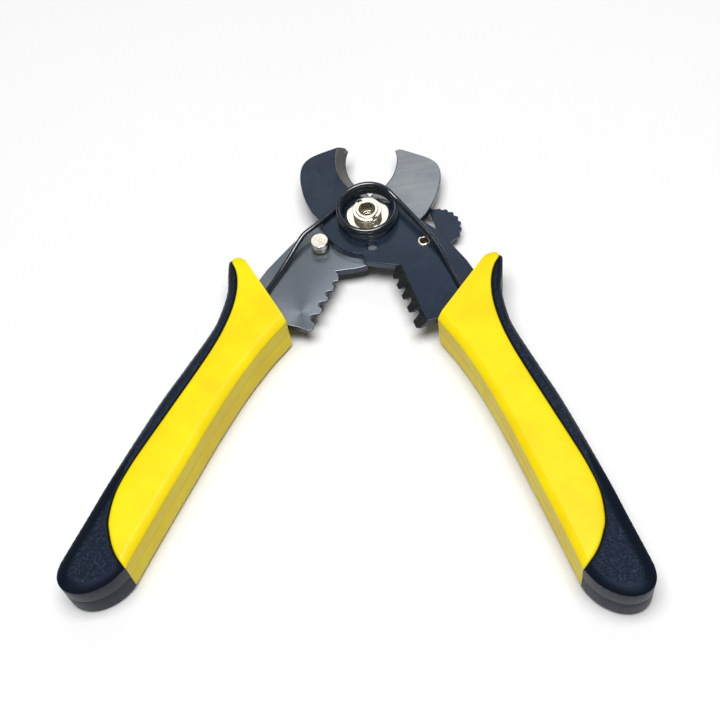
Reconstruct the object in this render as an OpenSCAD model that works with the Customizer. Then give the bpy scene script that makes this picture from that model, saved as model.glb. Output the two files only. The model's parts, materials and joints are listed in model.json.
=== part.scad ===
// Crossed-lever wire stripper with a cable cutter, two moulded handles, a return spring and a lock.
// Frame: the origin is on the pivot axis in the shear plane between the two levers.
// +Z is the pivot axis, +Y points at the jaws. The tool is drawn open, at rest.
// Each lever is drawn in a frame of its own, in which its cutting edges lie along the Y axis.

/* [Levers] */
// Thickness of each lever plate
plate_t = 3; // [2.5:0.1:3.2]
// How far each lever stands open from the centre line, in degrees
open_angle = 21.75; // [15:0.25:24]
// Radius of the round hub of each lever
hub_r = 16.6; // [16:0.1:16.7]

/* [Cable cutter] */
// Radius of the hollow cutting edge
edge_r = 17.6; // [16:0.2:19]
// Width of the ground bevel behind the cutting edge
edge_bevel = 3.5; // [2.5:0.1:4]

/* [Stripping notches] */
// Radius of the round bottom of the smallest notch
notch_small = 0.75; // [0.5:0.05:1]
// Radius of the round bottom of the largest notch
notch_large = 1.35; // [1.1:0.05:1.5]
// Width of the ground bevel behind the notches
notch_bevel = 3.6; // [2.5:0.1:4]

/* [Pivot] */
// Radius of the pivot bolt where the levers turn on it
pivot_r = 4.5; // [4:0.1:5]
// Radial running clearance of the upper lever on the bolt
pivot_play = 0.05; // [0.02:0.01:0.1]
// Radius of the through hole of the bolt
bolt_bore_r = 1.8; // [1.2:0.1:2.2]
// Radius of the large washer
washer_r = 7.45; // [7:0.05:8]
// Outer radius of the slotted nut
nut_r = 5.1; // [5:0.05:5.6]

/* [Spring] */
// Diameter of the spring wire
wire_d = 1.9; // [1.7:0.1:1.9]
// Mean radius of the spring coil
coil_r = 9.9; // [9.5:0.05:10]
// Rise of the coil in one turn
coil_pitch = 1.95; // [1.95:0.05:2.2]

/* [Handles] */
// Full thickness of a handle
handle_t = 18; // [16:0.5:20]
// Height of the slanted band at the top and bottom of a handle
band_h = 1.6; // [1.2:0.2:3]

/* [Lock] */
// Thickness of the lock lever
lock_t = 1.5; // [1:0.1:1.6]

/* [Hidden] */
$fn = 96;
e = 0.01;
gap = 0.03;
half_t = handle_t / 2;

// Distance of each stripping notch from the pivot, and how far the teeth stand over the centre line
notch_at = [28.5, 33.2, 38.1, 44];
tooth_over = 0.4;
notch_flare = 0.55;
edge_centre = [-17.45, 21.6];
row_start = -24.6;
row_end = -49.6;

// Small parts, placed on the lever that carries them (in that lever's frame)
stud_at = [-11.1, -16.7];
stud_flange_r = 3.1;
stud_r = 2;
shear_hole_at = [3, -12.7];
shear_hole_r = 2.1;
rivet_at = [14.1, -18.2];
rivet_r = 1.7;
rivet_bore_r = 1.3;
catch_r = 15.3;
catch_at = catch_r * [cos(-34.5), sin(-34.5)];
catch_pin_r = 1.1;

// Heights above the shear plane
washer_t = 1;
nut_h = 2.6;
nut_top = plate_t + washer_t + nut_h;
head_washer_t = 0.6;
head_t = 2.2;
head_r = 7;
head_low = -plate_t - head_washer_t - head_t;
rim_r = 3.9;
socket_r = 2.9;
lock_top = -plate_t - 0.2;

// ---- placing ----

// The lower lever has its handle on the left and stands open to the left
module on_lower() { rotate([0, 0, -open_angle]) children(); }

// The upper lever is the lower lever's mirror image
module on_upper() { rotate([0, 0, open_angle]) children(); }

// ---- lever plates ----

// A smooth curve through hand-chosen points, n steps to each span
function knot(p, i) = p[max(0, min(len(p) - 1, i))];
function curve_at(p, i, t) = 0.5 * (2 * knot(p, i) + t * (knot(p, i + 1) - knot(p, i - 1))
    + t * t * (2 * knot(p, i - 1) - 5 * knot(p, i) + 4 * knot(p, i + 1) - knot(p, i + 2))
    + t * t * t * (3 * knot(p, i) - knot(p, i - 1) - 3 * knot(p, i + 1) + knot(p, i + 2)));
function smooth(p, n) = [for (i = [0:len(p) - 2], k = [0:n - 1]) curve_at(p, i, k / n), p[len(p) - 1]];

// Points on an arc of radius r round c, between two angles
function arc(c, r, from, to, n) = [for (k = [0:n])
    let (a = from + (to - from) * k / n) c + r * [cos(a), sin(a)]];

// Jaw on the right: its blunt tip, then the flat top, round shoulder and outer side down to the hub
jaw_tip = [[-6, 11.5], [-6, 31.6], [-3.5, 32.3], [-3.25, 33.1], [-2.6, 33.7]];
jaw_back = [[-1.6, 33.9], [2.4, 33.85], [7.4, 33.7], [10.6, 33.2], [13.2, 32], [15, 30.1],
    [16.3, 27.7], [17.5, 23.8], [18.2, 19], [18.3, 14.5], [17.9, 9.5]];

// Neck from the hub to the first tooth, with the step that meets the stop stud
neck = [[7.45, -17.6], [6.3, -18.9], [3.4, -20.9], [0.7, -22.3], [-1.9, -23.9], [-0.7, row_start],
    [tooth_over, -26.3]];

// End of the toothed plate, the tang that runs inside the handle, and the outer edge up to the hub
plate_end = [[tooth_over, row_end + 0.8], [-0.8, row_end], [-4.7, row_end + 0.2], [-8.7, row_end - 0.4]];
tang = [[-11, -51], [-14, -56], [-15, -75], [-17, -104], [-18, -122], [-19.5, -124.5], [-24, -124.5],
    [-25.5, -122], [-25, -104], [-22.5, -75], [-22, -56], [-24.6, -46], [-25.8, -37]];
plate_back = [[-25, -31.5], [-22.8, -23.5], [-20.4, -15.8], [-16.6, -9], [-12.4, 0], [-10.2, 3.4]];

// A notch with a round bottom and a flared mouth; the larger ones are cut deeper
module tooth_gap(i) {
    r = notch_small + (notch_large - notch_small) * i / (len(notch_at) - 1);
    translate([0, -notch_at[i]]) hull() {
        translate([-0.2 - 0.25 * i, 0]) circle(r);
        translate([tooth_over, 0]) square([2 * e, 2 * (r + notch_flare)], center = true);
    }
}

module lever_outline() {
    difference() {
        polygon(concat(arc([0, 0], 10.6, 152, 108, 8), jaw_tip, smooth(jaw_back, 3),
            arc([0, 0], hub_r, 13, -63, 20), neck, plate_end, tang, smooth(plate_back, 3)));
        translate(edge_centre) circle(edge_r);
        for (i = [0:len(notch_at) - 1]) tooth_gap(i);
    }
}

// The tang's two holes take the pegs of the handle shells
peg_at = [[-18.3, -62], [-21.2, -112]];
peg_r = 2;

// One lever plate, from z = gap to plate_t, with its bevels on the top side, jaw on the right
module lever_plate() {
    difference() {
        translate([0, 0, gap]) linear_extrude(plate_t - gap) lever_outline();
        translate([edge_centre[0], edge_centre[1], gap])
            cylinder(h = plate_t, r1 = edge_r - 0.2, r2 = edge_r + edge_bevel);
        // the bevel of the stripping notches slants up from 0.8 mm at their edge
        translate([-notch_bevel, row_end - 2, plate_t]) rotate([0, 32, 0])
            cube([12, row_start - row_end + 2.4, 6]);
        cylinder(h = 20, r = pivot_r + pivot_play, center = true);
        translate(shear_hole_at) cylinder(h = 20, r = shear_hole_r, center = true);
        for (p = peg_at) translate(p) cylinder(h = 20, r = peg_r + 0.4, center = true);
        children();
    }
}

module lower_lever() {
    color("#8f949a") on_lower() mirror([0, 0, 1]) lever_plate() {
        translate(stud_at) cylinder(h = 20, r = stud_r + 0.02, center = true);
        translate(catch_at) cylinder(h = 20, r = catch_pin_r, center = true);
    }
}

module upper_lever() {
    color("#25323f") on_upper() mirror([1, 0, 0]) lever_plate() {
        translate([-rivet_at[0], rivet_at[1]]) cylinder(h = 20, r = rivet_r + 0.02, center = true);
    }
}

// ---- pivot ----

module pivot_bolt() {
    color("#cfcabb") difference() {
        union() {
            translate([0, 0, head_low]) cylinder(h = 0.8, r1 = head_r - 0.8, r2 = head_r);
            translate([0, 0, head_low + 0.8]) cylinder(h = head_t - 0.8, r = head_r);
            translate([0, 0, head_low + head_t - e])
                cylinder(h = 2 * plate_t + head_washer_t, r = pivot_r);
            cylinder(h = nut_top + 0.35, r = rim_r);
        }
        translate([0, 0, -20]) cylinder(h = 40, r = bolt_bore_r);
        translate([0, 0, 2]) cylinder(h = 20, r = socket_r);
    }
}

module pivot_nut() {
    color("#e8e4d5") difference() {
        translate([0, 0, plate_t + washer_t]) cylinder(h = nut_h, r = nut_r);
        cylinder(h = 20, r = rim_r + 0.02);
        rotate([0, 0, 127]) translate([-10, -0.8, nut_top - 1]) cube([20, 1.6, 5]);
    }
}

module ring(r_out, r_in, z, h) {
    translate([0, 0, z]) difference() {
        cylinder(h = h, r = r_out);
        translate([0, 0, -1]) cylinder(h = h + 2, r = r_in);
    }
}

module pivot_washer() { color("#d9d5c6") ring(washer_r, pivot_r + 0.1, plate_t, washer_t); }

module head_washer() { color("#b9b6aa") ring(6.4, pivot_r + 0.02, -plate_t - head_washer_t, head_washer_t); }

// ---- small parts on the levers ----

module stop_stud() {
    color("#e8e4d5") on_lower() translate(stud_at) {
        translate([0, 0, -plate_t - 0.6]) cylinder(h = 0.6, r = 2.6);
        translate([0, 0, -plate_t - e]) cylinder(h = plate_t + 1.8, r = stud_r);
        translate([0, 0, 0.5]) cylinder(h = 0.9, r1 = stud_flange_r, r2 = 2.7);
        translate([0, 0, 1.4]) cylinder(h = 0.7, r = 2.1);
        translate([0, 0, 2.1]) cylinder(h = 2.4, r = 3);
    }
}

module stud_ring() {
    color("#1b1f24") on_lower() translate(stud_at) ring(stud_flange_r, stud_r + 0.02, -gap, 0.5 + gap);
}

module catch_pin() {
    color("#cfcabb") on_lower() translate(catch_at) translate([0, 0, lock_top - lock_t - 0.2])
        cylinder(h = lock_t + 0.2 - lock_top - gap, r = catch_pin_r);
}

module lock_rivet() {
    color("#e8e4d5") on_upper() translate(rivet_at) difference() {
        union() {
            translate([0, 0, lock_top - lock_t - 0.7]) cylinder(h = 0.6, r = 2.6);
            translate([0, 0, lock_top - lock_t - 0.2])
                cylinder(h = plate_t - lock_top + lock_t + 0.3, r = rivet_r);
            translate([0, 0, plate_t]) cylinder(h = 0.5, r1 = 2.3, r2 = 1.9);
        }
        cylinder(h = 40, r = rivet_bore_r, center = true);
    }
}

module lock_spacer() {
    color("#8c8f8c") on_upper() translate(rivet_at)
        ring(3.4, rivet_r + 0.02, lock_top + 0.05, gap - lock_top - 0.05);
}

// The thumb tab is a fan with a serrated rim; the arm behind it carries the hook shoulder
tab_centre = [21.9, -10.4];
tab_r = 8.4;
teeth_deep = 0.36;
function rim(a) = let (deep = a < 60 ? teeth_deep : 0.1)
    tab_centre + (tab_r - deep * cos(20 * (a + 52))) * [cos(a), sin(a)];
lock_points = concat([for (a = [82:-2:-52]) rim(a)], [[24.8, -17.6]], arc(rivet_at, 4.2, -50, -200, 14),
    [[12.3, -12.3], [13.6, -10.9], [14.8, -10.5], [18.3, -12], [20.3, -12], [21.5, -10.2], [21.9, -7],
    [22.1, -2.7]]);

module lock_lever() {
    color("#25323f") on_upper() difference() {
        translate([0, 0, lock_top - lock_t]) linear_extrude(lock_t) polygon(lock_points);
        translate(rivet_at) cylinder(h = 40, r = rivet_r + 0.05, center = true);
    }
}

// ---- torsion spring ----

// Route of the wire's centre: left leg, coil, right leg, all in the frame of the open tool
coil_start = 136;
coil_end = 38;
coil_z = plate_t + wire_d / 2 + 0.05;
coil_turn = 2 * 360 + coil_start - coil_end;
leg_z = wire_d / 2 + 0.1;
left_leg = [[-36.5, -34.5, leg_z], [-33.2, -28.4, leg_z], [-30.2, -22.6, leg_z + 0.1],
    [-27, -16.4, leg_z + 0.8], [-24.2, -11.2, leg_z + 1.9], [-22, -8, leg_z + 2.7],
    [-18.6, -5, coil_z + 0.05], [-14, -0.3, coil_z + 0.05], [-10.2, 3.8, coil_z]];
right_leg = [[10.9, 2.9, 7.4], [14.4, -1.4, 7.1], [18.9, -6.9, 6.5], [23, -12.1, 5.7], [25.9, -16.8, 4.9],
    [28.8, -22.8, plate_t + leg_z], [32.1, -29.9, plate_t + leg_z], [34.9, -35.8, plate_t + leg_z]];
function coil_point(a) = [coil_r * cos(a), coil_r * sin(a), coil_z + coil_pitch * (coil_start - a) / 360];
coil_steps = 54;
coil = [for (k = [0:coil_steps]) coil_point(coil_start - coil_turn * k / coil_steps)];
spring_route = concat(left_leg, coil, right_leg);

// Sweeps a round wire along a route: each ring stands across the route, its first spoke near +Z
function unit(v) = v / norm(v);
function along(p, i) = unit(p[min(len(p) - 1, i + 1)] - p[max(0, i - 1)]);
module wire(p, r, sides) {
    n = len(p);
    rings = [for (i = [0:n - 1])
        let (t = along(p, i), s = unit(cross([0, 0, 1], t)), u = cross(t, s))
        for (k = [0:sides - 1]) p[i] + r * (cos(360 * k / sides) * u + sin(360 * k / sides) * s)];
    sides_faces = [for (i = [0:n - 2], k = [0:sides - 1])
        let (a = i * sides + k, b = i * sides + (k + 1) % sides)
        each [[a, a + sides, b + sides], [a, b + sides, b]]];
    caps = [[for (k = [0:sides - 1]) k], [for (k = [sides - 1:-1:0]) (n - 1) * sides + k]];
    polyhedron(rings, concat(sides_faces, caps));
}

module torsion_spring() { color("#1b2430") wire(spring_route, wire_d / 2, 10); }

// ---- handles ----

// Outline of a handle at its widest, on the right of its lever's frame: inner wall, blunt end,
// outer wall and horn; the mouth is the straight line that closes it
inner_wall = [[6.3, -52.6], [7, -55.6], [8.6, -61.6], [10.1, -69.5], [11.5, -79.5], [12.7, -95.5],
    [13.3, -112], [13.8, -127], [14.1, -138], [14.2, -148.6]];
handle_end = [[14.9, -152.6], [16, -155.5], [17.7, -158.2], [19.9, -160.6], [22.4, -162.4], [25.3, -163.5],
    [28.3, -163.6], [30.9, -162.6], [32.7, -160.6], [33.6, -157.9]];
outer_wall = [[33.8, -154.5], [33.5, -140], [33.2, -125], [31.6, -97], [29.8, -81], [28.2, -66], [28.4, -59],
    [30.2, -49.6], [33.4, -42.7], [35.35, -38.2]];
horn = [[35.15, -36.7], [34.8, -35.6], [33.9, -34.75], [32.6, -34.4], [31.3, -34.8]];
wall_outline = concat(smooth(inner_wall, 3), handle_end, smooth(outer_wall, 3), horn);

// How far the flat top lies inside the wall, square to it; at the two corners of the mouth, along the mouth
function inset_dir(i, p) = let (m = len(p) - 1, t = unit(p[(i + 1) % (m + 1)] - p[(i + m) % (m + 1)]))
    i == 0 ? unit(p[m] - p[0]) : i == m ? unit(p[0] - p[m]) : [-t[1], t[0]];
function clamp(x) = min(1, max(0, x));
// 2.6 mm on the inner side, 1.7 mm outside, and 4.3 mm on the outer side of the end
function inset_by(v) = let (outer = clamp((v[0] - 17) / 9), low = clamp((-v[1] - 112) / 18))
    2.6 * (1 - outer) + (1.7 + 2.6 * low) * outer;
top_outline = [for (i = [0:len(wall_outline) - 1])
    wall_outline[i] + inset_by(wall_outline[i]) * inset_dir(i, wall_outline)];

// The whole handle half, from the seam up: a straight wall and a slanted band
module handle_half() {
    n = len(wall_outline);
    z = [0, half_t - band_h, half_t - 0.35 * band_h, half_t];
    blend = [0, 0, 0.45, 1];
    rings = [for (k = [0:3], i = [0:n - 1])
        let (q = wall_outline[i] * (1 - blend[k]) + top_outline[i] * blend[k]) [q[0], q[1], z[k]]];
    walls = [for (k = [0:2], i = [0:n - 1])
        let (a = k * n + i, b = k * n + (i + 1) % n) each [[a, a + n, b + n], [a, b + n, b]]];
    // the flat faces are strips from the inner wall across to the outer wall
    strips = [for (i = [0:floor(n / 2) - 2]) let (j = n - 1 - i)
        each [[i, i + 1, j - 1], [i, j - 1, j],
            [3 * n + i, 3 * n + j - 1, 3 * n + i + 1], [3 * n + i, 3 * n + j, 3 * n + j - 1]]];
    polyhedron(rings, concat(walls, strips, n % 2 == 0 ? [] : let (m = floor(n / 2))
        [[m - 1, m, m + 1], [3 * n + m - 1, 3 * n + m + 1, 3 * n + m]]));
}

// Line between the hard shell and the soft grip, seen from above
grip_line = [[36, -35], [34.3, -37.3], [31.7, -40.1], [29.4, -43.2], [27.3, -47.6], [25.6, -53.5],
    [24.7, -60], [24.4, -67.6], [25, -78], [27.1, -98.9], [28.2, -109.3], [29.1, -119.8], [28.9, -129.5],
    [26.6, -138], [23.9, -142.3], [20.9, -145.8], [17.8, -148.3], [14.2, -150.2], [10, -152.4]];
module shell_side() { polygon(concat(smooth(grip_line, 3), [[0, -153], [0, -20], [40, -20], [40, -35]])); }

// One half of a handle, on the right, as its shell or its grip; children are cut away
module handle_part(shell) {
    difference() {
        intersection() {
            handle_half();
            if (shell) translate([0, 0, -1]) linear_extrude(half_t + 2) shell_side();
            else difference() {
                translate([0, -180, -1]) cube([50, 160, half_t + 2]);
                translate([0, 0, -2]) linear_extrude(half_t + 4) shell_side();
            }
        }
        children();
    }
}

// Pocket that holds the tang, and the channel for the end of the spring
module tang_pocket() {
    translate([0, 0, -e]) linear_extrude(plate_t + 0.05) offset(delta = 0.12)
        mirror([1, 0, 0]) polygon(concat([[-0.9, -30]], plate_end, tang, plate_back));
}
module spring_channel(z0) { translate([17, -48, z0]) cube([8.5, 14, wire_d + 0.6]); }
module peg(z0, h, r) { for (p = peg_at) translate([-p[0], p[1], z0]) cylinder(h = h, r = r); }

// side: 1 for the right handle, -1 for the left; the shell half that faces the tang has the pocket
module tang_half(shell) {
    handle_part(shell) {
        tang_pocket();
        peg(plate_t - 1, 3, peg_r + 0.02);
        if (shell) spring_channel(plate_t);
    }
}
module plain_half(shell, channel) {
    handle_part(shell) if (channel) spring_channel(-e);
    if (shell) mirror([0, 0, 1]) peg(-e, plate_t + 1.5, peg_r);
}

module right_shell_top() { color("#ffe600") on_upper() tang_half(true); }
module right_grip_top() { color("#20272f") on_upper() tang_half(false); }
module right_shell_bottom() { color("#ffe600") on_upper() mirror([0, 0, 1]) plain_half(true, false); }
module right_grip_bottom() { color("#20272f") on_upper() mirror([0, 0, 1]) plain_half(false, false); }
module left_shell_top() { color("#ffe600") on_lower() mirror([1, 0, 0]) plain_half(true, true); }
module left_grip_top() { color("#20272f") on_lower() mirror([1, 0, 0]) plain_half(false, false); }
module left_shell_bottom() {
    color("#ffe600") on_lower() mirror([1, 0, 0]) mirror([0, 0, 1]) tang_half(true);
}
module left_grip_bottom() {
    color("#20272f") on_lower() mirror([1, 0, 0]) mirror([0, 0, 1]) tang_half(false);
}

lower_lever();
upper_lever();
pivot_bolt();
pivot_nut();
pivot_washer();
head_washer();
torsion_spring();
stop_stud();
stud_ring();
catch_pin();
lock_lever();
lock_rivet();
lock_spacer();
left_shell_top();
left_shell_bottom();
left_grip_top();
left_grip_bottom();
right_shell_top();
right_shell_bottom();
right_grip_top();
right_grip_bottom();
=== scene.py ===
"""Looks of a crossed-lever wire stripper: ground and blued steel, coil spring, two-tone handles.

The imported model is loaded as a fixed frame, in metres. Its origin is on the pivot axis in the
shear plane, +Z is the pivot axis and +Y points at the jaws. Every piece is drawn in place.
"""

import json
import math

import bmesh
import bpy
import numpy as np
from bpy.props import FloatProperty, IntProperty, PointerProperty, StringProperty
from bpy.types import Operator, Panel, PropertyGroup
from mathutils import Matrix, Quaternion, Vector


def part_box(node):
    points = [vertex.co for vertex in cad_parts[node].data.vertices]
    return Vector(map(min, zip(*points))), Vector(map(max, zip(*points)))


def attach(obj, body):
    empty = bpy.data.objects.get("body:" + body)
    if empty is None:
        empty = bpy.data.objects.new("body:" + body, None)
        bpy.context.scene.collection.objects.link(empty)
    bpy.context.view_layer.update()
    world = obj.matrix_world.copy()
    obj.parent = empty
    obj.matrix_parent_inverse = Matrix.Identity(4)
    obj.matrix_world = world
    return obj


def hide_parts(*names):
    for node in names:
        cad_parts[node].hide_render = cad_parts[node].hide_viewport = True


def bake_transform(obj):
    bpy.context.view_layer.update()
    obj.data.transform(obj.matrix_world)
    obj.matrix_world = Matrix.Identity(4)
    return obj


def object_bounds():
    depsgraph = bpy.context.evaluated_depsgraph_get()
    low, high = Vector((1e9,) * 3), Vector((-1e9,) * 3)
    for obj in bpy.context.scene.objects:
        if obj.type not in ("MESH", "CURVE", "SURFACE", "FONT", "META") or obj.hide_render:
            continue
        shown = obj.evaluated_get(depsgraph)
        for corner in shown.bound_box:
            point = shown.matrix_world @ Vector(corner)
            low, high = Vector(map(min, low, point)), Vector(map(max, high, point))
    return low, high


bl_info = {
    "name": "Wire stripper",
    "version": (1, 0, 0),
    "blender": (4, 5, 0),
    "location": "3D View > Sidebar > Stripper",
    "description": "Builds the looks of a wire stripper round its packed frame",
    "category": "Object",
}

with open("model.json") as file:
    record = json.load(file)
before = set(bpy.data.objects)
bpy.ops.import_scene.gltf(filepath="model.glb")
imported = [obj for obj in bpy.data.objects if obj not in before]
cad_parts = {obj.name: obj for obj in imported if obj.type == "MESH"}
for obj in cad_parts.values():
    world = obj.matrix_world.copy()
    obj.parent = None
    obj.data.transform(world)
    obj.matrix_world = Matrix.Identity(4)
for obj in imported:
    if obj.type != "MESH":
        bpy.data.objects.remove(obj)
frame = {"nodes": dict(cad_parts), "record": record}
CAD_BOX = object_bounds()
MM = 0.001
OPEN_ANGLE = math.radians(21.75)


# ---- sizes and colours ----


class StripperSizes(PropertyGroup):
    """Sizes that a user would change."""

    edge_round: FloatProperty(
        name="Edge rounding", description="Width of the rounding on the edges of the steel parts",
        default=0.3 * MM, min=0.05 * MM, max=0.5 * MM, precision=5, unit="LENGTH")
    wire_radius: FloatProperty(
        name="Wire radius", description="Radius of the spring wire",
        default=0.95 * MM, min=0.8 * MM, max=1 * MM, precision=5, unit="LENGTH")
    coil_radius: FloatProperty(
        name="Coil radius", description="Mean radius of the spring coil",
        default=9.9 * MM, min=9 * MM, max=10 * MM, precision=5, unit="LENGTH")
    coil_pitch: FloatProperty(
        name="Coil pitch", description="Rise of the coil in one turn",
        default=1.95 * MM, min=1.95 * MM, max=2.2 * MM, precision=5, unit="LENGTH")
    handle_half: FloatProperty(
        name="Handle half thickness", description="Height of a handle half above its seam",
        default=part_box("right_shell_top")[1][2], min=7 * MM, max=10 * MM, precision=5, unit="LENGTH")
    band_height: FloatProperty(
        name="Band height", description="Height of the slanted band round a handle's flat top",
        default=2 * MM, min=1 * MM, max=3 * MM, precision=5, unit="LENGTH")
    seam: FloatProperty(
        name="Seam", description="Half the width of the seam between two handle halves",
        default=0.13 * MM, min=0.02 * MM, max=0.3 * MM, precision=5, unit="LENGTH")
    groove: FloatProperty(
        name="Groove", description="Depth of the groove between a shell and its grip",
        default=0.5 * MM, min=0.1 * MM, max=1 * MM, precision=5, unit="LENGTH")
    stations: IntProperty(
        name="Stations", description="Number of cross-sections along a handle piece",
        default=200, min=40, max=400)


class StripperColours(PropertyGroup):
    """Colours of the finishes, as sRGB hex values."""

    yellow: StringProperty(name="Yellow shell", description="Bright yellow moulding", default="#E0CC00")
    black: StringProperty(name="Black grip", description="Soft black moulding", default="#0A1019")
    blued: StringProperty(name="Blued steel", description="Blue-black oxide on the levers", default="#121B27")
    ground: StringProperty(name="Ground steel", description="Bare ground faces", default="#9A9FA5")
    bevel: StringProperty(name="Ground bevel", description="Coarsely ground bevels", default="#7E7C7A")
    nickel: StringProperty(name="Nickel", description="Bright nickel plating", default="#E6E1D2")
    wire: StringProperty(name="Spring wire", description="Oiled black spring wire", default="#0D131D")
    floor: StringProperty(name="Floor", description="Pale paper floor", default="#D8D8D8")


def sizes():
    return bpy.context.scene.stripper_sizes


def colours():
    return bpy.context.scene.stripper_colours


# ---- material nodes ----

COLOUR_MIX = {"data_type": "RGBA"}


def linear(hex_colour):
    """sRGB hex to linear: c / 12.92 below 0.04045, else ((c + 0.055) / 1.055) to the power 2.4."""
    c = np.array([int(hex_colour[i:i + 2], 16) for i in (1, 3, 5)]) / 255
    low, high = c / 12.92, ((c + 0.055) / 1.055) ** 2.4
    return (*np.where(c <= 0.04045, low, high).tolist(), 1.0)


def add(tree, kind, inputs=None, settings=None, out=0):
    """Adds one node with its settings, and its inputs as values or as sockets to link; gives an output."""
    node = tree.nodes.new(kind)
    for key, value in (settings or {}).items():
        setattr(node, key, value)
    for key, value in (inputs or {}).items():
        if isinstance(value, bpy.types.NodeSocket):
            tree.links.new(value, node.inputs[key])
        else:
            node.inputs[key].default_value = value
    return node.outputs[out] if len(node.outputs) else None


def begin_material(name):
    """A new material with an empty tree, and the object's own coordinates."""
    material = bpy.data.materials.new(name)
    material.use_nodes = True
    tree = material.node_tree
    tree.nodes.clear()
    return tree, add(tree, "ShaderNodeTexCoord", out="Object")


def finish_material(name, colour, shader, height=None, depth=0.0, strength=0.0):
    """Ends a material with a Principled shader, and a bump where a height socket is given."""
    material = bpy.data.materials[name]
    tree = material.node_tree
    inputs = {"Base Color": colour, **shader}
    if height is not None:
        inputs["Normal"] = add(tree, "ShaderNodeBump",
                               {"Height": height, "Distance": depth, "Strength": strength})
    surface = add(tree, "ShaderNodeBsdfPrincipled", inputs)
    add(tree, "ShaderNodeOutputMaterial", {"Surface": surface}, {"is_active_output": True})
    material.diffuse_color = (0.5, 0.5, 0.5, 1)
    return material


def grinding_lines(tree, place, angle, along, across):
    """Noise drawn out into lines: turned by angle about Z, each line along x across metres in size."""
    turned = add(tree, "ShaderNodeMapping", {"Vector": place, "Rotation": (0, 0, angle)},
                 {"vector_type": "TEXTURE"})
    scaled = add(tree, "ShaderNodeMapping", {"Vector": turned, "Scale": (1 / along, 1 / across, 1 / across)})
    return add(tree, "ShaderNodeTexNoise", {"Vector": scaled, "Scale": 1.0, "Detail": 3.0})


# ---- finishes ----
# A noise's scale is one over the size of its blobs, in metres


def yellow_moulding():
    """Moulded polypropylene: saturated yellow, a little light gets in, eroded mould grain."""
    name = "moulded yellow polypropylene"
    if name in bpy.data.materials:
        return bpy.data.materials[name]
    tree, place = begin_material(name)
    blobs = add(tree, "ShaderNodeTexNoise", {"Vector": place, "Scale": 1 / (14 * MM), "Detail": 3})
    cloud = add(tree, "ShaderNodeMapRange", {"Value": blobs, "From Min": 0.35, "From Max": 0.65})
    colour = add(tree, "ShaderNodeMix", {0: cloud, 6: linear(colours().yellow), 7: linear("#DBC000")},
                 COLOUR_MIX, 2)
    # real grain is 0.15 mm; 0.45 mm is the finest that shows
    grain = add(tree, "ShaderNodeTexNoise",
                {"Vector": place, "Scale": 1 / (0.45 * MM), "Detail": 3, "Roughness": 0.6})
    patches = add(tree, "ShaderNodeTexNoise", {"Vector": place, "Scale": 1 / (3 * MM), "Detail": 3})
    rough = add(tree, "ShaderNodeMapRange",
                {"Value": patches, "From Min": 0.3, "From Max": 0.7, "To Min": 0.36, "To Max": 0.46})
    shader = {"Roughness": rough, "IOR": 1.49, "Specular IOR Level": 0.25,
              "Subsurface Weight": 0.12, "Subsurface Radius": (1.2 * MM, 0.9 * MM, 0.15 * MM),
              "Subsurface Scale": 1.0}
    return finish_material(name, colour, shader, grain, 0.05 * MM, 0.22)


def black_moulding():
    """Soft thermoplastic rubber: grained on the flat top, with painted sheen speckles on the grain tops
    there, smoother on the band.
    """
    name = "moulded black rubber"
    if name in bpy.data.materials:
        return bpy.data.materials[name]
    tree, place = begin_material(name)
    z = add(tree, "ShaderNodeSeparateXYZ", {"Vector": place}, out="Z")
    up = add(tree, "ShaderNodeMath", {0: z}, {"operation": "ABSOLUTE"})
    top = sizes().handle_half
    flat = add(tree, "ShaderNodeMapRange",
               {"Value": up, "From Min": top - 0.28 * MM, "From Max": top - 0.06 * MM})
    # leather-like grain, 0.62 mm from bump to bump; its tops are painted paler as a painted sheen
    grain = add(tree, "ShaderNodeTexNoise",
                {"Vector": place, "Scale": 1 / (0.62 * MM), "Detail": 4, "Roughness": 0.65})
    grain_sheen = add(tree, "ShaderNodeMapRange",
               {"Value": grain, "From Min": 0.5, "From Max": 0.72, "To Max": 0.85})
    # painted sheen, only on the flat top: the grain tops are mixed towards a paler grey
    painted_sheen = add(tree, "ShaderNodeMath", {0: grain_sheen, 1: flat}, {"operation": "MULTIPLY"})
    colour = add(tree, "ShaderNodeMix", {0: painted_sheen, 6: linear(colours().black), 7: linear("#323C49")},
                 COLOUR_MIX, 2)
    rough = add(tree, "ShaderNodeMapRange", {"Value": flat, "To Min": 0.4, "To Max": 0.62})
    depth = add(tree, "ShaderNodeMapRange", {"Value": flat, "To Min": 0.12})
    height = add(tree, "ShaderNodeMath", {0: grain, 1: depth}, {"operation": "MULTIPLY"})
    shader = {"Roughness": rough, "IOR": 1.5, "Specular IOR Level": 0.22, "Specular Tint": linear("#B8CCFF")}
    return finish_material(name, colour, shader, height, 0.12 * MM, 0.7)


def blued_steel():
    """Blanked steel with a glossy blue-black oxide, slightly mottled, oiled."""
    name = "blued steel"
    if name in bpy.data.materials:
        return bpy.data.materials[name]
    tree, place = begin_material(name)
    blobs = add(tree, "ShaderNodeTexNoise", {"Vector": place, "Scale": 1 / (9 * MM), "Detail": 4})
    cloud = add(tree, "ShaderNodeMapRange", {"Value": blobs, "From Min": 0.35, "From Max": 0.7})
    colour = add(tree, "ShaderNodeMix", {0: cloud, 6: linear(colours().blued), 7: linear("#192430")},
                 COLOUR_MIX, 2)
    patches = add(tree, "ShaderNodeTexNoise", {"Vector": place, "Scale": 1 / (2 * MM), "Detail": 4})
    rough = add(tree, "ShaderNodeMapRange",
                {"Value": patches, "From Min": 0.3, "From Max": 0.7, "To Min": 0.24, "To Max": 0.36})
    peel = add(tree, "ShaderNodeTexNoise", {"Vector": place, "Scale": 1 / (1.1 * MM)})
    shader = {"Roughness": rough, "IOR": 1.5, "Specular Tint": linear("#CCDCFF"), "Coat Weight": 0.12,
              "Coat Roughness": 0.1}
    return finish_material(name, colour, shader, peel, 0.02 * MM, 0.1)


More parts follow.
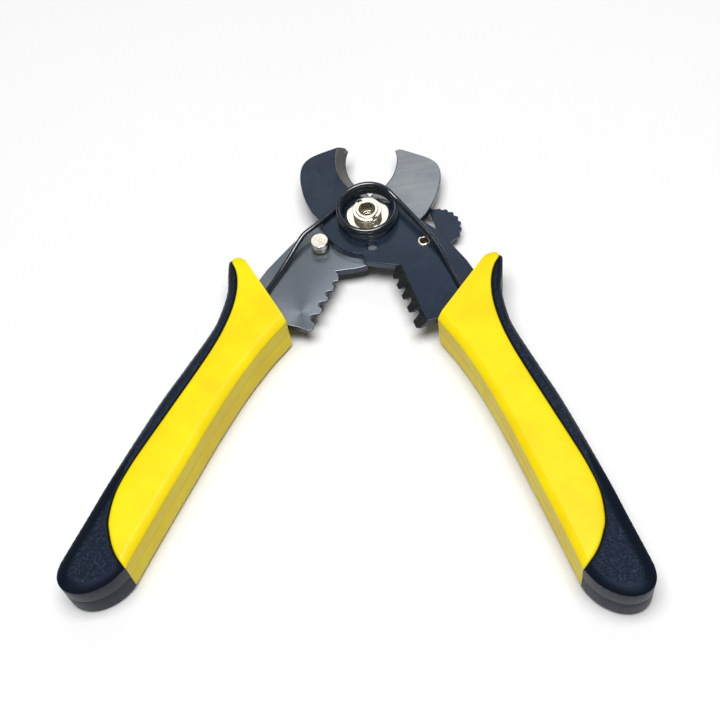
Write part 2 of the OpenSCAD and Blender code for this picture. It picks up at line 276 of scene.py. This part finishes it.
def ground_steel():
    """Tool steel ground flat in one pass: satin, with fine lines along the cut."""
    name = "ground steel"
    if name in bpy.data.materials:
        return bpy.data.materials[name]
    tree, place = begin_material(name)
    # grinding lines are 0.1 mm apart; 0.28 mm is the finest that shows
    lines = grinding_lines(tree, place, math.radians(8), 22 * MM, 0.28 * MM)
    broad = grinding_lines(tree, place, math.radians(8), 40 * MM, 1.6 * MM)
    # painted shade: the toothed plates behind the pivot are darkened, standing for the shadow and dark
    # reflection of the spring lying over them
    y = add(tree, "ShaderNodeSeparateXYZ", {"Vector": place}, out="Y")
    spring_shade = add(tree, "ShaderNodeMapRange",
                {"Value": y, "From Min": -10 * MM, "From Max": 6 * MM, "To Min": 1, "To Max": 0})
    blobs = add(tree, "ShaderNodeTexNoise",
                {"Vector": place, "Scale": 1 / (12 * MM), "Detail": 5, "Roughness": 0.6})
    smudge = add(tree, "ShaderNodeMapRange",
                 {"Value": blobs, "From Min": 0.38, "From Max": 0.68, "To Max": 0.3})
    tone = add(tree, "ShaderNodeMapRange", {"Value": broad, "From Min": 0.3, "From Max": 0.7})
    bare = add(tree, "ShaderNodeMix", {0: tone, 6: linear(colours().ground), 7: linear("#A9ADB2")},
               COLOUR_MIX, 2)
    # painted shade and painted dark reflection of the spring, mixed towards a darker grey behind the pivot
    shaded_steel = add(tree, "ShaderNodeMix", {0: spring_shade, 6: bare, 7: linear("#848B94")}, COLOUR_MIX, 2)
    colour = add(tree, "ShaderNodeMix", {0: smudge, 6: shaded_steel, 7: linear("#6C727A")}, COLOUR_MIX, 2)
    rough = add(tree, "ShaderNodeMapRange",
                {"Value": lines, "From Min": 0.25, "From Max": 0.75, "To Min": 0.33, "To Max": 0.43})
    shader = {"Roughness": rough, "Metallic": 1.0, "Anisotropic": 0.4}
    return finish_material(name, colour, shader, lines, 0.03 * MM, 0.3)


def ground_bevel():
    """Edges ground with a coarse wheel: dull, grey-brown, scored towards the edge."""
    name = "coarsely ground bevel"
    if name in bpy.data.materials:
        return bpy.data.materials[name]
    tree, place = begin_material(name)
    lines = grinding_lines(tree, place, OPEN_ANGLE, 9 * MM, 0.3 * MM)
    tone = add(tree, "ShaderNodeMapRange", {"Value": lines, "From Min": 0.3, "From Max": 0.7})
    colour = add(tree, "ShaderNodeMix", {0: tone, 6: linear(colours().bevel), 7: linear("#A9A7A3")},
                 COLOUR_MIX, 2)
    return finish_material(name, colour, {"Roughness": 0.42, "Metallic": 1.0}, lines, 0.05 * MM, 0.6)


def dark_bevel():
    """The toothed row's bevel: blued after grinding, so darker and browner than a bare one."""
    name = "blued ground bevel"
    if name in bpy.data.materials:
        return bpy.data.materials[name]
    tree, place = begin_material(name)
    lines = grinding_lines(tree, place, OPEN_ANGLE, 8 * MM, 0.5 * MM)
    tone = add(tree, "ShaderNodeMapRange", {"Value": lines, "From Min": 0.35, "From Max": 0.65})
    colour = add(tree, "ShaderNodeMix", {0: tone, 6: linear("#1B2129"), 7: linear("#43413F")}, COLOUR_MIX, 2)
    return finish_material(name, colour, {"Roughness": 0.38, "Metallic": 0.7}, lines, 0.06 * MM, 0.6)


def nickel_plate():
    """Turned steel with bright nickel plating: warm, sharp reflections, slightly spotted."""
    name = "bright nickel plating"
    if name in bpy.data.materials:
        return bpy.data.materials[name]
    tree, place = begin_material(name)
    blobs = add(tree, "ShaderNodeTexNoise",
                {"Vector": place, "Scale": 1 / (1.4 * MM), "Detail": 4, "Roughness": 0.6})
    spots = add(tree, "ShaderNodeMapRange",
                {"Value": blobs, "From Min": 0.45, "From Max": 0.7, "To Max": 0.35})
    colour = add(tree, "ShaderNodeMix", {0: spots, 6: linear(colours().nickel), 7: linear("#AFA894")},
                 COLOUR_MIX, 2)
    patches = add(tree, "ShaderNodeTexNoise", {"Vector": place, "Scale": 1 / (0.8 * MM), "Detail": 3})
    rough = add(tree, "ShaderNodeMapRange",
                {"Value": patches, "From Min": 0.3, "From Max": 0.7, "To Min": 0.1, "To Max": 0.18})
    ripple = add(tree, "ShaderNodeTexNoise", {"Vector": place, "Scale": 1 / (0.9 * MM)})
    return finish_material(name, colour, {"Roughness": rough, "Metallic": 1.0}, ripple, 0.02 * MM, 0.15)


def spring_steel():
    """Hard drawn wire, black oxide and oil: near black, glossy, with faint lengthwise lines."""
    name = "oiled black spring wire"
    if name in bpy.data.materials:
        return bpy.data.materials[name]
    tree, place = begin_material(name)
    uv = add(tree, "ShaderNodeUVMap", settings={"uv_map": "wire"})
    drawn = add(tree, "ShaderNodeMapping", {"Vector": uv, "Scale": (60.0, 14.0, 1.0)})
    lines = add(tree, "ShaderNodeTexNoise", {"Vector": drawn, "Scale": 1.0, "Detail": 3.0})
    tone = add(tree, "ShaderNodeMapRange", {"Value": lines, "From Min": 0.4, "From Max": 0.7})
    colour = add(tree, "ShaderNodeMix", {0: tone, 6: linear(colours().wire), 7: linear("#18212D")},
                 COLOUR_MIX, 2)
    patches = add(tree, "ShaderNodeTexNoise", {"Vector": place, "Scale": 1 / (1.5 * MM), "Detail": 3})
    rough = add(tree, "ShaderNodeMapRange",
                {"Value": patches, "From Min": 0.3, "From Max": 0.7, "To Min": 0.16, "To Max": 0.28})
    shader = {"Roughness": rough, "IOR": 1.6, "Coat Weight": 0.6, "Coat Roughness": 0.06}
    return finish_material(name, colour, shader, lines, 0.02 * MM, 0.3)


def black_fibre():
    """Pressed fibre washer, dull black."""
    name = "black fibre"
    if name in bpy.data.materials:
        return bpy.data.materials[name]
    tree, place = begin_material(name)
    fibres = add(tree, "ShaderNodeTexNoise", {"Vector": place, "Scale": 1 / (0.5 * MM), "Detail": 3})
    colour = add(tree, "ShaderNodeMix", {0: fibres, 6: linear("#15181C"), 7: linear("#23282E")},
                 COLOUR_MIX, 2)
    return finish_material(name, colour, {"Roughness": 0.7}, fibres, 0.04 * MM, 0.5)


# ---- meshes ----


def new_piece(name, points, faces, materials, smooth_angle=35):
    """A mesh object from an array of points in millimetres and a list of faces."""
    mesh = bpy.data.meshes.new(name)
    mesh.from_pydata((np.asarray(points, float) * MM).tolist(), [], faces)
    mesh.update()
    piece = bpy.data.objects.new(name, mesh)
    bpy.context.scene.collection.objects.link(piece)
    for material in materials:
        mesh.materials.append(material)
    mesh.polygons.foreach_set("use_smooth", np.ones(len(mesh.polygons), bool))
    mesh.set_sharp_from_angle(angle=math.radians(smooth_angle))
    return piece


def softened(node, width, segments):
    """A copy of a CAD node with its loose triangles merged to flat faces and its edges rounded."""
    work = bmesh.new()
    work.from_mesh(frame["nodes"][node].data)
    bmesh.ops.remove_doubles(work, verts=work.verts, dist=1e-6)
    bmesh.ops.dissolve_limit(work, angle_limit=math.radians(0.4), verts=work.verts, edges=work.edges)
    mesh = bpy.data.meshes.new(f"{node}_steel")
    work.to_mesh(mesh)
    work.free()
    mesh.materials.clear()
    piece = bpy.data.objects.new(f"{node}_steel", mesh)
    bpy.context.scene.collection.objects.link(piece)
    mesh.polygons.foreach_set("use_smooth", np.ones(len(mesh.polygons), bool))
    mesh.set_sharp_from_angle(angle=math.radians(30))
    bevel = piece.modifiers.new("rounded edges", "BEVEL")
    bevel.width = width
    bevel.segments = segments
    bevel.limit_method = "ANGLE"
    bevel.angle_limit = math.radians(32)
    bevel.use_clamp_overlap = False
    bevel.harden_normals = True
    return piece


def face_normals(mesh):
    normals = np.zeros(len(mesh.polygons) * 3)
    mesh.polygons.foreach_get("normal", normals)
    centres = np.zeros(len(mesh.polygons) * 3)
    mesh.polygons.foreach_get("center", centres)
    return normals.reshape(-1, 3), centres.reshape(-1, 3)


def body_name(node):
    bodies = frame["record"]["behaviour"]["bodies"]
    return next(name for name, nodes in bodies.items() if node in nodes)


def stand_for(piece, node):
    """Makes a piece ride on its node's body and replace the node."""
    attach(piece, body_name(node))
    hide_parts(node)


# ---- curves ----


def smooth_path(points, steps):
    """Catmull-Rom curve: 0.5 (2b + t(c - a) + t^2(2a - 5b + 4c - d) + t^3(3b - a - 3c + d))."""
    p = np.asarray(points, float)
    q = np.vstack([p[:1], p, p[-1:]])
    t = np.linspace(0, 1, steps, endpoint=False)[None, :, None]
    a, b, c, d = q[:-3, None], q[1:-2, None], q[2:-1, None], q[3:, None]
    cubic = t ** 3 * (3 * b - a - 3 * c + d)
    curve = 0.5 * (2 * b + t * (c - a) + t ** 2 * (2 * a - 5 * b + 4 * c - d) + cubic)
    return np.vstack([curve.reshape(-1, p.shape[1]), p[-1:]])


def lengths(path):
    """Distance along a path at each of its points."""
    return np.r_[0, np.cumsum(np.linalg.norm(np.diff(path, axis=0), axis=1))]


def at_distance(path, s):
    """Points of a path at the given distances along it."""
    along = lengths(path)
    return np.stack([np.interp(s, along, path[:, k]) for k in range(path.shape[1])], 1)


def unit(v):
    return v / np.linalg.norm(v, axis=-1, keepdims=True)


# ---- handles ----

# Shares of the band's width at which a section has a point, closest at the band's foot
BAND_STEPS = np.array([0, 0.01, 0.035, 0.08, 0.15, 0.26, 0.4, 0.58, 0.8, 1])
# Along the joint line, in millimetres: how far the groove and the shallow dish beside it reach
GROOVE_REACH = 0.35
DISH_REACH = 1.4
DISH_DEPTH = 0.25
# Height above the seam at which a wall begins to turn in towards it
SEAM_LIP = 0.35
# Where the blunt end begins, on the grip's wall and on the joint line
WALL_TURN = -136
JOINT_TURN = -129
# Outline of a handle in its lever's frame, right side, in millimetres
INNER_WALL = [[6.3, -52.6], [7, -55.6], [8.6, -61.6], [10.1, -69.5], [11.5, -79.5], [12.7, -95.5],
              [13.3, -112], [13.8, -127], [14.1, -138], [14.3, -149.7]]
HANDLE_END = [[33.8, -154.5], [33.6, -157.9], [32.7, -160.6], [30.9, -162.6], [28.3, -163.6],
              [25.3, -163.5], [22.4, -162.4], [19.9, -160.6], [17.7, -158.2], [16, -155.5], [14.9, -152.6],
              [14.2, -150.1]]
OUTER_WALL = [[35.15, -36.7], [35.35, -38.2], [33.4, -42.7], [30.2, -49.6], [28.4, -59], [28.2, -66],
              [29.8, -81], [31.6, -97], [33.2, -125], [33.5, -140]]
HORN = [[31.3, -34.8], [32.6, -34.4], [33.9, -34.75], [34.8, -35.6], [35.15, -36.7]]
# Joint line between the yellow shell and the black grip
JOINT_LINE = [[34.9, -36.5], [34, -38], [31.7, -40.1], [29.4, -43.2], [27.3, -47.6], [25.6, -53.5],
              [24.7, -60], [24.4, -67.6], [25, -78], [27.1, -98.9], [28.2, -109.3], [29.1, -119.8],
              [28.9, -129.5], [26.6, -138], [23.9, -142.3], [20.9, -145.8], [17.8, -148.3],
              [14.35, -150.15]]


def grip_wall():
    """Wall of the black grip: the outer wall, then round the blunt end to the joint line."""
    return smooth_path(OUTER_WALL + HANDLE_END, 10)


def band_width(points):
    """Width of the slanted band: 2.6 mm inside, 1.7 outside, and 4.3 on the outer side of the end."""
    outer = np.clip((points[:, 0] - 17) / 9, 0, 1)
    low = np.clip((-points[:, 1] - 112) / 18, 0, 1)
    return 2.6 * (1 - outer) + (1.7 + 2.6 * low * low * (3 - 2 * low)) * outer


def distance_and_band(points):
    """Distance of each point to the handle's wall, and the band's width at the nearest wall point."""
    wall = np.vstack([smooth_path(HORN, 6), grip_wall(), smooth_path(INNER_WALL, 10)[::-1]])
    wall = at_distance(wall, np.linspace(0, lengths(wall)[-1], 900))
    gap = np.linalg.norm(points[:, None] - wall[None], axis=2)
    return gap.min(axis=1), band_width(wall)[gap.argmin(axis=1)]


def band_height_at(share):
    """Height up the band, 0 to 1, at a share b of its width: 0.55 b + 0.45 sqrt(b (2 - b))."""
    b = np.clip(share, 0, 1)
    return 0.55 * b + 0.45 * np.sqrt(b * (2 - b))


def handle_sections(wall, joint):
    """Cross-sections of a handle piece between its wall and the joint line.

    Each section runs up the wall, up the band in nine steps, over the flat top to the joint line
    and down to the seam. Height = wall height + band height * H(distance to the wall / band width),
    less a groove that fades with the distance to the joint line.
    """
    s = sizes()
    half, rise = s.handle_half / MM, s.band_height / MM
    reach = np.linalg.norm(joint - wall, axis=1)
    across = (joint - wall) / reach[:, None]
    run = np.gradient(wall, axis=0)
    inward = unit(np.stack([-run[:, 1], run[:, 0]], 1))
    lean = np.clip(np.abs((inward * across).sum(1)), 0.35, 1)
    ridge = np.minimum(band_width(wall) / lean, reach * 0.9)
    band = ridge[:, None] * BAND_STEPS
    rest = (reach - ridge)[:, None]
    fine = np.minimum(1, rest / 4)
    near = ridge[:, None] + fine * [0.12, 0.4]
    far = reach[:, None] - fine * [1.9, 1.2, 0.75, 0.45, 0.25, 0.12, 0]
    middle = near[:, -1:] + (far[:, :1] - near[:, -1:]) * np.linspace(0, 1, 10)[1:-1]
    steps = np.hstack([band, near, middle, far])
    plan = wall[:, None] + across[:, None] * steps[..., None]
    gap, width = distance_and_band(plan.reshape(-1, 2))
    share = (gap / width).reshape(steps.shape)
    share[:, 0] = 0
    to_joint = reach[:, None] - steps
    dip = (s.groove / MM) * np.exp(-to_joint / GROOVE_REACH) + DISH_DEPTH * np.exp(-to_joint / DISH_REACH)
    height = half - rise + rise * band_height_at(share) - dip
    top = np.dstack([plan, height])
    seam = s.seam / MM
    low = np.dstack([plan[:, :1] + across[:, None] * seam, np.full((len(wall), 1), 0.25 * seam)])
    lip = np.dstack([plan[:, :1], np.full((len(wall), 1), SEAM_LIP + seam)])
    foot = np.dstack([plan[:, -1:], np.full((len(wall), 1), 0.25 * seam)])
    return np.hstack([low, lip, top, foot])


def closed_loft(sections):
    """Faces of a tube of closed sections, with both ends closed, for sections of equal length."""
    n, m = sections.shape[:2]
    i, k = np.meshgrid(np.arange(n - 1), np.arange(m), indexing="ij")
    a, b = i * m + k, i * m + (k + 1) % m
    walls = np.stack([a, a + m, b + m, b], -1).reshape(-1, 4).tolist()
    return walls + [list(range(m)), list(range((n - 1) * m, n * m))[::-1]]


def handle_piece(side, kind, level):
    """One half shell or half grip: side left or right, kind shell or grip, level top or bottom."""
    count = sizes().stations
    joint = smooth_path(JOINT_LINE, 10)
    if kind == "shell":
        wall = smooth_path(INNER_WALL, 10)
        edge = np.vstack([smooth_path(HORN, 6)[:-3], joint])
        u = np.linspace(0, 1, count)
        wall = at_distance(wall, u * lengths(wall)[-1])
        edge = at_distance(edge, u * lengths(edge)[-1])
        # moved a little off the wall, so that the last section keeps a width
        edge[-1] += [0.05, 0.03]
    else:
        wall, edge = grip_wall(), joint
        u = np.linspace(0, 1, count)
        # half of the sections go along the handle, and half round its blunt end
        wall_long, edge_long = lengths(wall), lengths(edge)
        wall_turn = wall_long[np.argmax(wall[:, 1] < WALL_TURN)]
        edge_turn = edge_long[np.argmax(edge[:, 1] < JOINT_TURN)]
        wall = at_distance(wall, np.interp(u, [0, 0.5, 1], [0, wall_turn, wall_long[-1]]))
        edge = at_distance(edge, np.interp(u, [0, 0.5, 1], [0, edge_turn, edge_long[-1]]))
        edge[-1] += [0.05, -0.03]
    sections = handle_sections(wall, edge)
    faces = closed_loft(sections)
    points = sections.reshape(-1, 3).copy()
    c, s = math.cos(OPEN_ANGLE), math.sin(OPEN_ANGLE)
    x, y = points[:, 0], points[:, 1]
    points[:, :2] = np.stack([x * c - y * s, x * s + y * c], 1)
    flips = kind == "grip"
    if side == "left":
        points[:, 0] *= -1
        flips = not flips
    if level == "bottom":
        points[:, 2] *= -1
        flips = not flips
    if flips:
        faces = [face[::-1] for face in faces]
    node = f"{side}_{kind}_{level}"
    material = yellow_moulding() if kind == "shell" else black_moulding()
    piece = new_piece(f"{node}_moulding", points, faces, [material], 32)
    stand_for(piece, node)


# ---- operators ----


class STRIPPER_OT_levers(Operator):
    """The two levers: mating faces and bevels ground bare, the rest blued"""

    bl_idname = "stripper.levers"
    bl_label = "Levers"

    def execute(self, context):
        for node, slot in (("lower_lever", "ground_steel"), ("upper_lever", "blued_steel")):
            piece = softened(node, sizes().edge_round, 3)
            mesh = piece.data
            for material in (blued_steel(), ground_steel(), ground_bevel(), dark_bevel()):
                mesh.materials.append(material)
            normals, centres = face_normals(mesh)
            # flat faces near the shear plane are ground; slanted faces are bevels, on the jaws or the teeth
            mating = np.abs(centres[:, 2]) < 0.2 * MM
            slanted = (np.abs(normals[:, 2]) > 0.2) & (np.abs(normals[:, 2]) < 0.97)
            jaw = centres[:, 1] > 0
            kind = np.where(mating & (np.abs(normals[:, 2]) > 0.9), 1, 0)
            kind = np.where(slanted & jaw, 2, kind)
            kind = np.where(slanted & ~jaw, 3, kind)
            mesh.polygons.foreach_set("material_index", kind.astype(np.int32))
            stand_for(piece, node)
        return {"FINISHED"}


class STRIPPER_OT_small_parts(Operator):
    """Nickel-plated pivot, stud, rivet and pins, and the dark washer"""

    bl_idname = "stripper.small_parts"
    bl_label = "Pivot and small parts"

    def execute(self, context):
        plated = ("pivot_bolt", "pivot_nut", "pivot_washer", "head_washer", "stop_stud", "catch_pin",
                  "lock_rivet", "lock_spacer")
        for node in plated:
            piece = softened(node, 0.13 * MM, 2)
            piece.data.materials.append(nickel_plate())
            stand_for(piece, node)
        piece = softened("stud_ring", 0.1 * MM, 2)
        piece.data.materials.append(black_fibre())
        stand_for(piece, "stud_ring")
        return {"FINISHED"}


class STRIPPER_OT_lock(Operator):
    """The thumb lock, blanked from blued sheet"""

    bl_idname = "stripper.lock"
    bl_label = "Lock"

    def execute(self, context):
        piece = softened("lock_lever", 0.15 * MM, 2)
        piece.data.materials.append(blued_steel())
        stand_for(piece, "lock_lever")
        return {"FINISHED"}


class STRIPPER_OT_spring(Operator):
    """The torsion spring: a round wire carried along both legs and the coil"""

    bl_idname = "stripper.spring"
    bl_label = "Spring"

    def execute(self, context):
        s = sizes()
        wire, coil_r, pitch = s.wire_radius / MM, s.coil_radius / MM, s.coil_pitch / MM
        # heights above the shear plane in millimetres, and the coil's first and last angle in degrees
        leg, plate = wire + 0.1, 3.0
        start, end = 136, 38 - 720
        coil_z = plate + wire + 0.05
        left = [[-36.5, -34.5, leg], [-33.2, -28.4, leg], [-30.2, -22.6, leg + 0.1], [-27, -16.4, leg + 0.8],
                [-24.2, -11.2, leg + 1.9], [-22, -8, leg + 2.7], [-18.6, -5, coil_z + 0.05],
                [-14, -0.3, coil_z + 0.05], [-10.2, 3.8, coil_z]]
        right = [[10.9, 2.9, 7.4], [14.4, -1.4, 7.1], [18.9, -6.9, 6.5], [23, -12.1, 5.7], [25.9, -16.8, 4.9],
                 [28.8, -22.8, plate + leg], [32.1, -29.9, plate + leg], [34.9, -35.8, plate + leg]]
        angle = np.radians(np.linspace(start, end, 90))
        rise = coil_z + pitch * (math.radians(start) - angle) / (2 * math.pi)
        coil = np.stack([coil_r * np.cos(angle), coil_r * np.sin(angle), rise], 1)
        path = smooth_path(np.vstack([left, coil, right]), 8)
        path = at_distance(path, np.linspace(0, lengths(path)[-1], 460))
        # each ring stands across the path: centre + r (cos a * up + sin a * side)
        along = unit(np.gradient(path, axis=0))
        side = unit(np.cross([0, 0, 1], along))
        up = np.cross(along, side)
        sides = 20
        a = np.linspace(0, 2 * math.pi, sides, endpoint=False)[None, :, None]
        rings = path[:, None] + wire * (np.cos(a) * up[:, None] + np.sin(a) * side[:, None])
        faces = [face[::-1] for face in closed_loft(rings)]
        piece = new_piece("torsion_spring_wire", rings.reshape(-1, 3), faces, [spring_steel()], 50)
        mesh = piece.data
        uv = mesh.uv_layers.new(name="wire")
        corner = np.zeros(len(mesh.loops), np.int32)
        mesh.loops.foreach_get("vertex_index", corner)
        around, down = corner % sides / sides, lengths(path)[corner // sides] / 10
        uv.data.foreach_set("uv", np.stack([around, down], 1).ravel())
        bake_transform(piece)
        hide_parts("torsion_spring")
        return {"FINISHED"}


class STRIPPER_OT_shells(Operator):
    """The four yellow half shells"""

    bl_idname = "stripper.shells"
    bl_label = "Handle shells"

    def execute(self, context):
        for side in ("left", "right"):
            for level in ("top", "bottom"):
                handle_piece(side, "shell", level)
        return {"FINISHED"}


class STRIPPER_OT_grips(Operator):
    """The four soft black half grips"""

    bl_idname = "stripper.grips"
    bl_label = "Handle grips"

    def execute(self, context):
        for side in ("left", "right"):
            for level in ("top", "bottom"):
                handle_piece(side, "grip", level)
        return {"FINISHED"}


def area_light(name, place, aim, size, power):
    light = bpy.data.lights.new(name, "AREA")
    light.shape = "RECTANGLE"
    light.size, light.size_y = size
    light.energy = power
    lamp = bpy.data.objects.new(name, light)
    bpy.context.scene.collection.objects.link(lamp)
    lamp.location = place
    lamp.rotation_euler = (Vector(aim) - Vector(place)).to_track_quat("-Z", "Y").to_euler()


class STRIPPER_OT_stage(Operator):
    """Pale floor, soft studio light and the camera"""

    bl_idname = "stripper.stage"
    bl_label = "Stage"

    def execute(self, context):
        scene = context.scene
        tree, place = begin_material("pale paper")
        cloud = add(tree, "ShaderNodeTexNoise", {"Vector": place, "Scale": 1 / 0.2})
        tint = add(tree, "ShaderNodeMix", {0: cloud, 6: linear(colours().floor), 7: linear("#DCDCDC")},
                   COLOUR_MIX, 2)
        paper = finish_material("pale paper", tint, {"Roughness": 0.9})
        low = CAD_BOX[0][2] / MM
        edge = 3000
        corners = [[-edge, -edge, low], [edge, -edge, low], [edge, edge, low], [-edge, edge, low]]
        floor = new_piece("floor", corners, [[0, 1, 2, 3]], [paper])

        world = bpy.data.worlds.new("studio")
        world.use_nodes = True
        scene.world = world
        back = world.node_tree.nodes["Background"]
        back.inputs["Color"].default_value = (0.95, 0.97, 1.0, 1)
        back.inputs["Strength"].default_value = 0.16
        area_light("overhead", (0.02, -0.16, 1.2), (0, -0.06, 0), (0.8, 0.6), 20.5)
        area_light("back card", (0.06, 0.82, 1.01), (0, 0, 0), (0.75, 0.23), 0.9)

        camera = bpy.data.cameras.new("camera")
        camera.lens, camera.sensor_width = 65.7, 36
        view = bpy.data.objects.new("camera", camera)
        scene.collection.objects.link(view)
        view.location = (43.68 * MM, -279.73 * MM, 374.41 * MM)
        aim = Vector((-0.79 * MM, -57.54 * MM, 0))
        upright = (aim - view.location).to_track_quat("-Z", "Y")
        view.rotation_euler = (upright @ Quaternion((0, 0, 1), math.radians(-10.54))).to_euler()
        scene.camera = view
        scene.view_settings.view_transform = "Standard"
        return {"FINISHED"}


STEPS = (STRIPPER_OT_levers, STRIPPER_OT_small_parts, STRIPPER_OT_lock, STRIPPER_OT_spring,
         STRIPPER_OT_shells, STRIPPER_OT_grips, STRIPPER_OT_stage)


class STRIPPER_PT_panel(Panel):
    """Lists the building steps and the sizes"""

    bl_idname = "STRIPPER_PT_panel"
    bl_label = "Wire stripper"
    bl_space_type = "VIEW_3D"
    bl_region_type = "UI"
    bl_category = "Stripper"

    def draw(self, context):
        layout = self.layout
        for step in STEPS:
            layout.operator(step.bl_idname)
        for group in (context.scene.stripper_sizes, context.scene.stripper_colours):
            for key in group.__annotations__:
                layout.prop(group, key)


CLASSES = (StripperSizes, StripperColours, *STEPS, STRIPPER_PT_panel)


def register():
    for item in CLASSES:
        bpy.utils.register_class(item)
    bpy.types.Scene.stripper_sizes = PointerProperty(type=StripperSizes)
    bpy.types.Scene.stripper_colours = PointerProperty(type=StripperColours)


def unregister():
    del bpy.types.Scene.stripper_colours
    del bpy.types.Scene.stripper_sizes
    for item in reversed(CLASSES):
        bpy.utils.unregister_class(item)


def main():
    """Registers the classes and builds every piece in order."""
    register()
    for step in STEPS:
        group, name = step.bl_idname.split(".")
        getattr(getattr(bpy.ops, group), name)()


if __name__ == "__main__":
    main()
